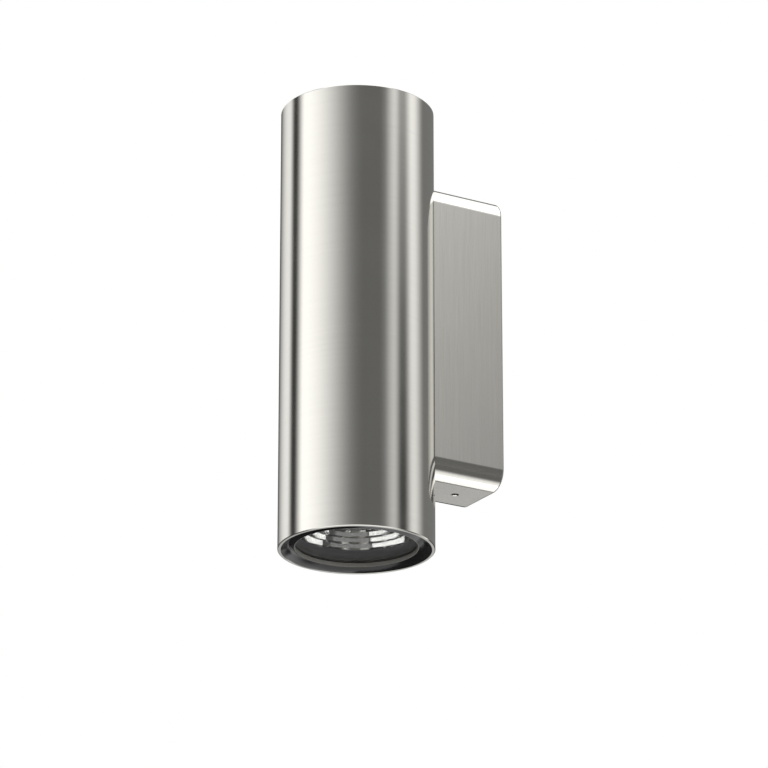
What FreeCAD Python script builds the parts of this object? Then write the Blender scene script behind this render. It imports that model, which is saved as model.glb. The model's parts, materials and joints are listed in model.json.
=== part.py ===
import FreeCAD, Part

import os
import re

import Sketcher
from FreeCAD import Placement, Rotation, Vector

# An up-and-down tube wall light. Frame: the origin is the middle of the wall plate's back face,
# +Y points into the wall, +Z is up, and the tube's axis stands at x = 0, y = -axis_to_wall.

# Driving sizes in millimetres: alias, value, what it measures.
SIZES = [
    ("fit_gap", 0.05, "gap between two pieces that lie in or on each other"),
    ("tube_diameter", 70, "outside of the tube"),
    ("tube_length", 210, "length of the tube"),
    ("tube_wall", 1.5, "wall of the tube"),
    ("rim_chamfer", 0.3, "broken edge of the tube's two rims"),
    ("axis_to_wall", 65, "tube axis to wall"),
    ("box_width", 40, "width of the bracket box"),
    ("box_height", 140, "height of the bracket box"),
    ("box_corner", 8.8, "outside radius of the box's long edges"),
    ("box_wall", 2, "wall of the box"),
    ("web_wall", 2, "coped front of the box, against the tube"),
    ("gasket_thickness", 0.5, "seal between box and wall"),
    ("plate_thickness", 2, "sheet of the wall plate"),
    ("plate_play", 0.2, "gap between the plate's edges and the box"),
    ("plate_corner", 5, "corner radius of the plate"),
    ("bend_radius", 1, "inside radius of the plate's bends"),
    ("tab_depth", 20, "reach of the plate's two tabs from the wall"),
    ("tab_width", 20, "width of the tabs"),
    ("tab_gap", 0.1, "gap between a tab and what it bears on"),
    ("slot_spacing", 90, "distance between the two wall screw slots"),
    ("slot_width", 4.5, "width of a wall screw slot"),
    ("slot_length", 10, "length of a slot over its ends"),
    ("cable_hole", 14, "hole in the plate for the cable bush"),
    ("cable_height", 20, "height of the cable hole"),
    ("cable_bore", 8.5, "bore of the cable bush"),
    ("bush_flange", 18, "flange of the cable bush"),
    ("bush_flange_thickness", 2, "thickness of that flange"),
    ("earth_thread", 4, "earth screw"),
    ("earth_x", 10, "earth screw, to the side"),
    ("earth_height", 34, "height of the earth screw"),
    ("earth_washer", 9, "diameter of the earth washer"),
    ("washer_thickness", 0.8, "thickness of the earth washer"),
    ("block_width", 20, "terminal block, across"),
    ("block_height", 22, "terminal block, upright"),
    ("block_depth", 15, "terminal block, out from the plate"),
    ("block_middle", -21, "height of the terminal block's middle"),
    ("pole_pitch", 10, "distance between the block's two poles"),
    ("pole_bore", 4.4, "wire hole of a pole"),
    ("clamp_thread", 3.5, "clamp screw of a pole"),
    ("clamp_spacing", 12, "between the two clamp screws of a pole"),
    ("clamp_recess", 1.5, "clamp screw below the block's face"),
    ("clamp_slit", 0.8, "width and depth of a clamp screw's slit"),
    ("small_thread", 3, "screws of the block, tray, driver and heat sinks"),
    ("drill_spare", 0.5, "a blind screw hole is deeper than its screw by this"),
    ("lock_thread", 3, "lock screw"),
    ("lock_length", 5, "length of the lock screw"),
    ("lock_to_wall", 13.6, "lock screw's axis to the wall"),
    ("lock_socket", 1.5, "lock screw's hexagon, across its flats"),
    ("lock_boss", 8, "diameter of the lock screw's boss"),
    ("lock_boss_height", 4.2, "height of that boss"),
    ("lock_sink", 0.35, "countersink round the lock screw"),
    ("saddle_width", 30, "width of the bar inside the tube"),
    ("saddle_depth", 9.5, "thickness of that bar at its crest"),
    ("saddle_to_sink", 6.25, "end of the bar to the fins of a heat sink"),
    ("saddle_thread", 4, "screws from the box into the bar"),
    ("saddle_spacing", 56, "distance between these two screws"),
    ("saddle_bite", 8, "depth of these screws in the bar"),
    ("wire_hole", 10, "wire hole from the box into the tube"),
    ("wire_room", 0.5, "room round the wire bush in the bar"),
    ("wire_reach", 1, "reach of the wire bush past the tube's bore"),
    ("wire_bore", 6, "bore of the wire bush"),
    ("wire_flange", 14, "flange of the wire bush"),
    ("wire_flange_thickness", 1.5, "thickness of that flange"),
    ("tray_width", 28, "width of the driver tray"),
    ("tray_sheet", 1.5, "sheet of the tray"),
    ("tray_foot", 8, "length of a foot of the tray"),
    ("tray_rise", 5, "wire space behind the tray"),
    ("tray_bite", 4, "depth of the tray's screws in the bar"),
    ("driver_width", 34, "LED driver, across"),
    ("driver_depth", 20, "LED driver, out from the tray"),
    ("driver_corner", 2, "rounded edges of the driver"),
    ("driver_ear", 7, "length of a fixing ear of the driver"),
    ("ear_thickness", 2.5, "thickness of an ear"),
    ("ear_to_bend", 1.5, "end of an ear to the bend of the tray"),
    ("ear_screw_spare", 2, "the driver's screws stand out behind the tray by this"),
    ("cover_thickness", 1.5, "driver cover"),
    ("cover_inset", 1.5, "driver cover in from the driver's edges"),
    ("ring_dish", 1, "depth of the ring's dished face"),
    ("ring_lip", 2, "from the dished face to the glass"),
    ("ring_flange", 2.3, "height of the ring's flange"),
    ("neck_spare", 0.75, "the ring's neck reaches past the glass seal by this"),
    ("neck_wall", 1.42, "wall of the neck, round the glass"),
    ("lip_width", 2.55, "width of the ring's lip under the glass"),
    ("thread_gap", 0.08, "running gap of the ring's thread"),
    ("thread_wall", 1.9, "wall of the sleeve at the ring's thread"),
    ("glass_thickness", 4, "glass"),
    ("glass_gap", 0.1, "gap round the glass, and round the baffle's flange"),
    ("seal_thickness", 1, "flat seal behind the glass"),
    ("seal_width", 2.35, "width of that seal"),
    ("sleeve_wall", 2.45, "wall of the sleeve round the baffle's flange"),
    ("sleeve_lip", 1, "lip of the sleeve under the baffle's flange"),
    ("lip_room", 0.5, "end of the ring's neck to that lip"),
    ("baffle_step", 0.2, "baffle's inside in from the ring's opening"),
    ("baffle_wall", 1.5, "wall of the baffle"),
    ("baffle_height", 3.8, "height of the baffle"),
    ("rim_step", 0.1, "reflector's first step in from the baffle's inside"),
    ("rim_thickness", 1, "flange of the reflector"),
    ("step_count", 8, "steps of the reflector (a number)"),
    ("step_rise", 1.92, "riser of one step"),
    ("aperture_gap", 0.4, "last step of the reflector to the LED's lit face"),
    ("reflector_wall", 1.2, "from a step's inner corner to the cone outside"),
    ("board_diameter", 36, "LED board"),
    ("board_thickness", 1.5, "LED board"),
    ("board_gap", 0.1, "reflector to LED board"),
    ("board_notch", 2, "radius of the board's notch for the wires"),
    ("emitter_diameter", 12, "lit face of the LED"),
    ("emitter_thickness", 0.3, "thickness of that face"),
    ("holder_opening", 22, "opening of the LED holder"),
    ("holder_diameter", 35, "outside of the LED holder"),
    ("holder_thickness", 1.8, "LED holder"),
    ("holder_thread", 2.5, "screws of the LED holder"),
    ("holder_circle", 29, "circle of these screws"),
    ("holder_bite", 3, "depth of these screws in the heat sink"),
    ("sink_base", 4, "base of the heat sink"),
    ("sink_core", 20, "core of the heat sink"),
    ("fin_count", 16, "fins of the heat sink (a number)"),
    ("fin_height", 14, "height of a fin"),
    ("fin_thickness", 1.6, "thickness of a fin"),
    ("fin_edge", 1, "fin tips in from the edge of the base"),
    ("sink_boss", 6, "diameter of the bosses under the heat sink's screws"),
    ("sink_boss_sink", 0.4, "these bosses go into the sleeve's wall by this"),
    ("sink_boss_height", 11, "height of these bosses"),
    ("sink_bite", 7, "depth of the heat sink's screws in their bosses"),
]
ALIASES = {alias for alias, value, note in SIZES}

# Heads of cap screws, as multiples of the thread.
HEAD_WIDTH, HEAD_HEIGHT, SOCKET_WIDTH, SOCKET_DEPTH = 1.8, 0.65, 0.8, 0.4
# A cut runs this far past the face that it opens, in millimetres.
PAST = "1"

UPRIGHT = Rotation()
UPSIDE_DOWN = Rotation(Vector(0, 1, 0), 180)
TO_WALL = Rotation(Vector(1, 0, 0), -90)
TO_ROOM = Rotation(Vector(1, 0, 0), 90)

# Distances from the tube's axis.
TUBE_RADIUS = "(tube_diameter / 2)"
BORE = "(tube_diameter / 2 - tube_wall)"
COPE = f"({TUBE_RADIUS} + fit_gap)"
WEB_CREST = f"({COPE} + web_wall)"
SADDLE_FACE = f"({BORE} - saddle_depth)"
TRAY_BACK = f"({SADDLE_FACE} - tray_rise)"
TRAY_FRONT = f"({TRAY_BACK} - tray_sheet)"

# Distances from the tube's axis in a mouth of the tube, from its bore inwards.
FLANGE = f"({BORE} - fit_gap)"
THREAD = f"({FLANGE} - thread_wall)"
NECK = f"({THREAD} - thread_gap)"
NECK_BORE = f"({NECK} - neck_wall)"
GLASS = f"({NECK_BORE} - glass_gap)"
RING_OPENING = f"({NECK_BORE} - lip_width)"
SEAL_BORE = f"({GLASS} - seal_width)"
BAFFLE_BORE = f"({RING_OPENING} - baffle_step)"
BAFFLE_OUTSIDE = f"({BAFFLE_BORE} + baffle_wall)"
SLEEVE_BORE = f"({FLANGE} - sleeve_wall)"
RIM_EDGE = f"({SLEEVE_BORE} - glass_gap)"
FIRST_STEP = f"({BAFFLE_BORE} - rim_step)"
APERTURE = "(emitter_diameter / 2 + aperture_gap)"
STEP_WIDTH = f"(({FIRST_STEP} - {APERTURE}) / step_count)"

# Heights on the wall plate. The upper tab carries the box, and the lock screw presses on the lower.
UPPER_TAB = "(box_height / 2 - box_wall - tab_gap)"
LOWER_TAB = "(-box_height / 2 + box_wall + lock_boss_height + tab_gap)"
BEND = "(bend_radius + plate_thickness)"
PLATE_TOP = f"({UPPER_TAB} - {BEND})"
PLATE_FOOT = f"({LOWER_TAB} + {BEND})"

# Depths into the tube, counted from its end.
GLASS_SEAT = "(ring_dish + ring_lip)"
GLASS_FACE = f"({GLASS_SEAT} + fit_gap)"
GLASS_BACK = f"({GLASS_FACE} + glass_thickness)"
SEAL_BACK = f"({GLASS_BACK} + seal_thickness)"
BAFFLE_FOOT = f"({SEAL_BACK} + fit_gap)"
REFLECTOR_RIM = f"({BAFFLE_FOOT} + baffle_height)"
REFLECTOR_TOP = f"({REFLECTOR_RIM} + (step_count + 1) * step_rise)"
BOARD_FACE = f"({REFLECTOR_TOP} + board_gap)"
SLEEVE_TOP = f"({BOARD_FACE} + board_thickness)"
SLEEVE_FOOT = "(ring_flange + 2 * fit_gap)"
RING_TOP = f"({SEAL_BACK} + neck_spare)"
LIP_FOOT = f"({RING_TOP} + lip_room)"
LIP_TOP = f"({LIP_FOOT} + sleeve_lip)"
SINK_TOP = f"({SLEEVE_TOP} + sink_base)"
FIN_TOP = f"({SINK_TOP} + fin_height)"

# Heights inside the tube, up and down from its middle.
SADDLE_END = f"(tube_length / 2 - {FIN_TOP} - saddle_to_sink)"
TRAY_STEP = f"({SADDLE_END} - tray_foot)"
EAR_END = f"({TRAY_STEP} - tray_sheet - ear_to_bend)"
DRIVER_END = f"({EAR_END} - driver_ear)"

doc = FreeCAD.newDocument("tube_wall_light")
sheet = doc.addObject("Spreadsheet::Sheet", "Sizes")
nodes = []


def fill_sheet():
    """Put every driving size in the sheet as alias, number and note."""
    for row, (alias, value, note) in enumerate(SIZES, 1):
        sheet.set(f"A{row}", alias)
        sheet.set(f"B{row}", str(value))
        sheet.setAlias(f"B{row}", alias)
        sheet.set(f"C{row}", note)
    doc.recompute()


def bound(formula):
    """A formula of driving sizes, as an expression that reads the sheet."""
    return re.sub(r"[a-z_]+", lambda m: f"Sizes.{m[0]}" if m[0] in ALIASES else m[0], formula)


def number(formula):
    """What a formula of driving sizes comes to now."""
    return float(sheet.evalExpression(bound(formula)))


def bind(thing, **formulas):
    """Bind properties of a document object to formulas."""
    for prop, formula in formulas.items():
        thing.setExpression(prop, bound(formula))
    return thing


def place(thing, x="0", y="0", z="0", turn=UPRIGHT):
    """Turn a document object and bind its place to formulas."""
    thing.Placement = Placement(Vector(), turn)
    for axis, formula in (("x", x), ("y", y), ("z", z)):
        thing.setExpression(f"Placement.Base.{axis}", bound(formula))
    return thing


def node(thing, name):
    """Name a finished sub-part and keep it for export."""
    thing.Label = name
    nodes.append(thing)
    return thing


# ---- forms that the sub-parts share ----

def rod(name, radius, length, x="0", y="0", z="0", turn=UPRIGHT):
    """A round bar that starts at a point and runs along its turned Z axis."""
    bar = bind(doc.addObject("Part::Cylinder", name), Radius=radius, Height=length)
    return place(bar, x, y, z, turn)


def block(name, width, depth, height, x, y, z):
    """A rectangular block, centred across at x, from y towards the wall and from z up."""
    solid = bind(doc.addObject("Part::Box", name), Length=width, Width=depth, Height=height)
    return place(solid, f"{x} - ({width}) / 2", y, z)


def fused(name, *parts):
    joined = doc.addObject("Part::MultiFuse", name)
    joined.Shapes = list(parts)
    return joined


def cut(name, base, *tools):
    piece = doc.addObject("Part::Cut", name)
    piece.Base = base
    piece.Tool = tools[0] if len(tools) == 1 else fused(f"{name}_cutters", *tools)
    return piece


def common(name, one, other):
    shared = doc.addObject("Part::Common", name)
    shared.Base, shared.Tool = one, other
    return shared


def group(name, pieces):
    """Like pieces that share one node, each its own solid."""
    together = doc.addObject("Part::Compound", name)
    together.Links = pieces
    return together


def sketch_on(body, role):
    """An empty sketch on one of a body's own origin planes."""
    sketch = body.newObject("Sketcher::SketchObject", f"{body.Name}_sketch")
    plane = next(o for o in body.Origin.OriginFeatures if o.Role == role)
    sketch.AttachmentSupport = [(plane, "")]
    sketch.MapMode = "FlatFace"
    return sketch


def outline(sketch, corners):
    """A closed loop of straight sides, each corner a pair of formulas."""
    count = len(corners)
    points = [Vector(number(x), number(y), 0) for x, y in corners]
    for n in range(count):
        sketch.addGeometry(Part.LineSegment(points[n], points[(n + 1) % count]))
    for n in range(count):
        sketch.addConstraint(Sketcher.Constraint("Coincident", n, 2, (n + 1) % count, 1))
    for n, (point, corner) in enumerate(zip(points, corners)):
        for kind, at, formula in zip(("DistanceX", "DistanceY"), point, corner):
            index = sketch.addConstraint(Sketcher.Constraint(kind, -1, 1, n, 1, at))
            sketch.setExpression(f"Constraints[{index}]", bound(formula))


def rectangle(width, low, high):
    """Corners of a rectangle centred on the first axis."""
    half = f"({width}) / 2"
    return [(f"-{half}", low), (half, low), (half, high), (f"-{half}", high)]


def turned(name, corners):
    """A body turned about Z from an outline of radius and height."""
    body = doc.addObject("PartDesign::Body", name)
    sketch = sketch_on(body, "XZ_Plane")
    outline(sketch, corners)
    turn = body.newObject("PartDesign::Revolution", f"{name}_turn")
    turn.Profile = sketch
    turn.ReferenceAxis = (sketch, ["V_Axis"])
    turn.Angle = 360
    doc.recompute()
    return body


def padded(name, role, corners, length, both_ways=False):
    """A body pressed out of an outline, along the normal of its plane or evenly both ways."""
    body = doc.addObject("PartDesign::Body", name)
    sketch = sketch_on(body, role)
    outline(sketch, corners)
    pad = body.newObject("PartDesign::Pad", f"{name}_pad")
    pad.Profile = sketch
    pad.Midplane = both_ways
    bind(pad, Length=length)
    doc.recompute()
    return body


def rounded(body, radius, chosen):
    """Round the edges of a body that a test on the edge picks."""
    tip = body.Tip
    names = [f"Edge{n}" for n, edge in enumerate(tip.Shape.Edges, 1) if chosen(edge)]
    fillet = body.newObject("PartDesign::Fillet", f"{body.Name}_fillet")
    fillet.Base = (tip, names)
    bind(fillet, Radius=radius)
    doc.recompute()
    return body


def runs_along(axis):
    """A test for straight edges that run along an axis."""
    def test(edge):
        ends = [v.Point for v in edge.Vertexes]
        return len(ends) == 2 and (ends[1] - ends[0]).cross(axis).Length < 1e-6
    return test


def rounded_block(name, width, low, high, depth, corner):
    """A block with four rounded edges that runs from the wall side into the room."""
    body = padded(name, "XZ_Plane", rectangle(width, low, high), depth)
    return rounded(body, corner, runs_along(Vector(0, 1, 0)))


def cap_screws(name, thread, length, seats, turn=UPRIGHT):
    """Socket cap screws: each head stands on its seat, each shank runs back from it."""
    screws = []
    for n, (x, y, z) in enumerate(seats, 1):
        part = f"{name}_{n}"
        shank = rod(f"{part}_shank", f"{thread} / 2", length, z=f"-({length})")
        head = rod(f"{part}_head", f"{thread} * {HEAD_WIDTH / 2}", f"{thread} * {HEAD_HEIGHT}")
        socket = doc.addObject("Part::Prism", f"{part}_socket")
        bind(socket, Circumradius=f"{thread} * {SOCKET_WIDTH / 2}", Height=f"{thread} * {HEAD_HEIGHT}")
        place(socket, z=f"{thread} * {HEAD_HEIGHT - SOCKET_DEPTH}")
        screws.append(place(cut(part, fused(f"{part}_blank", shank, head), socket), x, y, z, turn))
    return screws[0] if len(screws) == 1 else group(name, screws)


# ---- what stays on the wall ----

def make_wall_plate():
    """Bent sheet: a back with two screw slots and two tabs that the box slides over."""
    back = rounded_block("plate_back", "box_width - 2 * (box_wall + plate_play)", PLATE_FOOT,
                         PLATE_TOP, "plate_thickness", "plate_corner")
    strip = padded("plate_strip", "YZ_Plane", [
        ("0", LOWER_TAB), ("0", UPPER_TAB), ("-tab_depth", UPPER_TAB),
        ("-tab_depth", f"{UPPER_TAB} - plate_thickness"),
        ("-plate_thickness", f"{UPPER_TAB} - plate_thickness"),
        ("-plate_thickness", f"{LOWER_TAB} + plate_thickness"),
        ("-tab_depth", f"{LOWER_TAB} + plate_thickness"), ("-tab_depth", LOWER_TAB),
    ], "tab_width", both_ways=True)
    across = runs_along(Vector(1, 0, 0))
    rounded(strip, BEND, lambda e: across(e) and abs(e.CenterOfMass.y) < 1e-6)
    inside = number("-plate_thickness")
    rounded(strip, "bend_radius", lambda e: across(e) and abs(e.CenterOfMass.y - inside) < 1e-6)
    openings = []
    for side, sign in (("upper", ""), ("lower", "-")):
        middle = f"{sign}slot_spacing / 2"
        reach = "(slot_length - slot_width) / 2"
        ends = [rod(f"{side}_slot_{end}", "slot_width / 2", f"plate_thickness + 2 * {PAST}",
                    y=f"-plate_thickness - {PAST}", z=f"{middle} {end_sign} {reach}", turn=TO_WALL)
                for end, end_sign in (("top", "+"), ("foot", "-"))]
        openings += [*ends, block(f"{side}_slot_middle", "slot_width", f"plate_thickness + 2 * {PAST}",
                                  f"2 * {reach}", "0", f"-plate_thickness - {PAST}", f"{middle} - {reach}")]
    for name, radius, x, z in (
            ("cable_opening", "cable_hole / 2", "0", "cable_height"),
            ("earth_hole", "earth_thread / 2 + fit_gap", "earth_x", "earth_height"),
            ("block_hole", "small_thread / 2 + fit_gap", "0", "block_middle")):
        openings.append(rod(name, radius, f"plate_thickness + 2 * {PAST}", x,
                            f"-plate_thickness - {PAST}", z, TO_WALL))
    node(cut("wall_plate", fused("plate_blank", back, strip), *openings), "wall_plate")


def make_cable_grommet():
    """Rubber bush in the plate: a neck through the hole and a flange on the room side."""
    neck = "cable_hole / 2 - fit_gap"
    front = "plate_thickness + bush_flange_thickness"
    bush = turned("cable_grommet", [
        ("cable_bore / 2", "0"), (neck, "0"), (neck, "plate_thickness"),
        ("bush_flange / 2", "plate_thickness"), ("bush_flange / 2", front), ("cable_bore / 2", front),
    ])
    node(place(bush, z="cable_height", turn=TO_ROOM), "cable_grommet")


def make_terminal_block():
    """Two poles side by side, each a wire hole from top to bottom with two clamp screws."""
    front = "(-plate_thickness - block_depth)"
    foot = "(block_middle - block_height / 2)"
    body = block("block_body", "block_width", "block_depth", "block_height", "0", front, foot)
    cutters, seats = [], []
    for pole, side in enumerate((-1, 1), 1):
        x = f"{side} * pole_pitch / 2"
        cutters.append(rod(f"pole_{pole}_wires", "pole_bore / 2", f"block_height + 2 * {PAST}", x,
                           "-plate_thickness - block_depth / 2", f"{foot} - {PAST}"))
        for row, way in enumerate((-1, 1), 1):
            z = f"block_middle + {way} * clamp_spacing / 2"
            seats.append((x, z))
            cutters.append(rod(f"pole_{pole}_screw_{row}", "clamp_thread / 2 + fit_gap",
                               f"block_depth / 2 + {PAST}", x, f"{front} - {PAST}", z, TO_WALL))
    cutters.append(rod("block_screw_hole", "small_thread / 2 + fit_gap", f"block_depth + 2 * {PAST}",
                       "0", f"{front} - {PAST}", "block_middle", TO_WALL))
    node(cut("terminal_block", body, *cutters), "terminal_block")

    clamps = []
    for n, (x, z) in enumerate(seats, 1):
        length = "block_depth / 2 - clamp_recess - pole_bore / 4"
        screw = rod(f"clamp_{n}", "clamp_thread / 2", length, x, f"{front} + clamp_recess", z, TO_WALL)
        slit = block(f"clamp_slit_{n}", "clamp_thread", f"clamp_slit + {PAST}", "clamp_slit", x,
                     f"{front} + clamp_recess - {PAST}", f"{z} - clamp_slit / 2")
        clamps.append(cut(f"clamp_screw_{n}", screw, slit))
    node(group("terminal_screws", clamps), "terminal_screws")
    node(cap_screws("terminal_fixing_screw", "small_thread", "block_depth + plate_thickness / 2",
                    [("0", front, "block_middle")], TO_ROOM), "terminal_fixing_screw")


def make_earth():
    """Earth screw with its washer on the plate."""
    washer = turned("earth_washer", [
        ("earth_thread / 2 + fit_gap", "0"), ("earth_washer / 2", "0"),
        ("earth_washer / 2", "washer_thickness"), ("earth_thread / 2 + fit_gap", "washer_thickness"),
    ])
    place(washer, "earth_x", "-plate_thickness", "earth_height", TO_ROOM)
    node(washer, "earth_washer")
    node(cap_screws("earth_screw", "earth_thread", "plate_thickness + washer_thickness",
                    [("earth_x", "-plate_thickness - washer_thickness", "earth_height")], TO_ROOM),
         "earth_screw")


# ---- the housing ----

def tube_holes(name, radius, heights, start, length):
    """Round cutters through the back of the tube, the box's web and the saddle."""
    return [rod(f"{name}_{n}", radius, length, y=f"{start} - axis_to_wall", z=z, turn=TO_WALL)
            for n, z in enumerate(heights, 1)]


SADDLE_SCREWS = ("-saddle_spacing / 2", "saddle_spacing / 2")


def make_tube():
    """Round tube with broken rims, two screw holes and a wire hole behind the box."""
    shell = turned("tube_shell", [
        (BORE, "-tube_length / 2"), (f"{TUBE_RADIUS} - rim_chamfer", "-tube_length / 2"),
        (TUBE_RADIUS, "-tube_length / 2 + rim_chamfer"), (TUBE_RADIUS, "tube_length / 2 - rim_chamfer"),
        (f"{TUBE_RADIUS} - rim_chamfer", "tube_length / 2"), (BORE, "tube_length / 2"),
    ])
    place(shell, y="-axis_to_wall")
    past = f"tube_wall + 2 * {PAST}"
    holes = tube_holes("tube_screw_hole", "saddle_thread / 2 + fit_gap", SADDLE_SCREWS,
                       f"{BORE} - {PAST}", past)
    holes += tube_holes("tube_wire_hole", "wire_hole / 2", ["0"], f"{BORE} - {PAST}", past)
    node(cut("tube", shell, *holes), "tube")


def rounded_prism(name, inset, start):
    """The box's rounded outline, drawn in by inset, from start on the wall side to the tube's axis."""
    prism = rounded_block(name, f"box_width - 2 * {inset}", f"-box_height / 2 + {inset}",
                          f"box_height / 2 - {inset}", f"axis_to_wall + ({start})", f"box_corner - {inset}")
    return place(prism, y=start)


def make_wall_box():
    """Rounded box coped to the tube, hollow from the wall side up to a web along the tube."""
    upright = {"y": "-axis_to_wall", "z": f"-box_height / 2 - {PAST}"}
    tall = f"box_height + 2 * {PAST}"
    shell = cut("box_shell", rounded_prism("box_outside", "0", "-gasket_thickness"),
                rod("box_cope", COPE, tall, **upright))
    hollow = cut("box_hollow", rounded_prism("box_inside", "box_wall", "0"),
                 rod("web_back", WEB_CREST, tall, **upright))
    boss_foot = "-box_height / 2 + box_wall / 2"
    boss = rod("lock_boss", "lock_boss / 2", "lock_boss_height + box_wall / 2", y="-lock_to_wall",
               z=boss_foot)
    bore = rod("lock_bore", "lock_thread / 2 + fit_gap", f"box_wall + lock_boss_height + 2 * {PAST}",
               y="-lock_to_wall", z=f"-box_height / 2 - {PAST}")
    sink = bind(doc.addObject("Part::Cone", "lock_countersink"), Height="2 * lock_sink",
                Radius1="lock_thread / 2 + fit_gap + 2 * lock_sink", Radius2="lock_thread / 2 + fit_gap")
    place(sink, y="-lock_to_wall", z="-box_height / 2 - lock_sink")
    past = f"web_wall + 2 * {PAST}"
    holes = tube_holes("web_screw_hole", "saddle_thread / 2 + fit_gap", SADDLE_SCREWS,
                       f"{COPE} - {PAST}", past)
    holes += tube_holes("web_wire_hole", "wire_hole / 2", ["0"], f"{COPE} - {PAST}", past)
    box = fused("box_with_boss", cut("box_open", shell, hollow), boss)
    node(cut("wall_box", box, bore, sink, *holes), "wall_box")


def make_rear_gasket():
    """Flat seal on the box's back rim."""
    frame = rounded_block("gasket_outside", "box_width", "-box_height / 2", "box_height / 2",
                          "gasket_thickness", "box_corner")
    window = rounded_block("gasket_inside", "box_width - 2 * box_wall", "-box_height / 2 + box_wall",
                           "box_height / 2 - box_wall", f"gasket_thickness + 2 * {PAST}",
                           "box_corner - box_wall")
    node(cut("rear_gasket", frame, place(window, y=PAST)), "rear_gasket")


def make_lock_screw():
    """Socket set screw in the underside of the box, its tip under the lower tab."""
    tip = f"({LOWER_TAB} - fit_gap)"
    foot = f"({tip} - lock_length)"
    shank = rod("lock_shank", "lock_thread / 2", "lock_length - lock_thread / 6", y="-lock_to_wall", z=foot)
    cone = bind(doc.addObject("Part::Cone", "lock_tip"), Radius1="lock_thread / 2",
                Radius2="lock_thread / 3", Height="lock_thread / 6")
    place(cone, y="-lock_to_wall", z=f"{tip} - lock_thread / 6")
    socket = bind(doc.addObject("Part::Prism", "lock_socket"), Circumradius="lock_socket / sqrt(3)",
                  Height=f"lock_length / 2 + {PAST}")
    place(socket, y="-lock_to_wall", z=f"{foot} - {PAST}")
    node(cut("lock_screw", fused("lock_blank", shank, cone), socket), "lock_screw")


def make_saddle():
    """Bar inside the tube, curved to its bore, that the box is screwed to."""
    height = f"2 * {SADDLE_END}"
    bar = common("saddle_bar",
                 rod("saddle_round", FLANGE, height, y="-axis_to_wall", z=f"-{SADDLE_END}"),
                 block("saddle_flat", "saddle_width", "saddle_depth", height, "0",
                       f"{SADDLE_FACE} - axis_to_wall", f"-{SADDLE_END}"))
    holes = tube_holes("saddle_screw_hole", "saddle_thread / 2 + fit_gap", SADDLE_SCREWS,
                       f"{BORE} - saddle_bite - drill_spare", f"saddle_bite + drill_spare + {PAST}")
    holes += tube_holes("saddle_wire_hole", "wire_hole / 2 + wire_room", ["0"],
                        f"{SADDLE_FACE} - {PAST}", f"saddle_depth + 2 * {PAST}")
    holes += tube_holes("saddle_tray_hole", "small_thread / 2 + fit_gap", TRAY_SCREWS,
                        f"{SADDLE_FACE} - {PAST}", f"tray_bite + drill_spare + {PAST}")
    node(cut("saddle_plate", bar, *holes), "saddle_plate")
    seat = f"{WEB_CREST} + fit_gap - axis_to_wall"
    node(cap_screws("saddle_screws", "saddle_thread", f"{WEB_CREST} + fit_gap - {BORE} + saddle_bite",
                    [("0", seat, z) for z in SADDLE_SCREWS], TO_WALL), "saddle_screws")


def make_wire_grommet():
    """Bush where the wires pass from the box into the tube."""
    neck = "wire_hole / 2 - fit_gap"
    seat = f"({WEB_CREST} + fit_gap)"
    bush = turned("wire_grommet", [
        ("wire_bore / 2", f"{BORE} - wire_reach"), (neck, f"{BORE} - wire_reach"), (neck, seat),
        ("wire_flange / 2", seat),
        ("wire_flange / 2", f"{seat} + wire_flange_thickness"),
        ("wire_bore / 2", f"{seat} + wire_flange_thickness"),
    ])
    node(place(bush, y="-axis_to_wall", turn=TO_WALL), "wire_grommet")


TRAY_SCREWS = (f"tray_foot / 2 - {SADDLE_END}", f"{SADDLE_END} - tray_foot / 2")
EAR_SCREWS = (f"-{DRIVER_END} - driver_ear / 2", f"{DRIVER_END} + driver_ear / 2")


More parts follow.
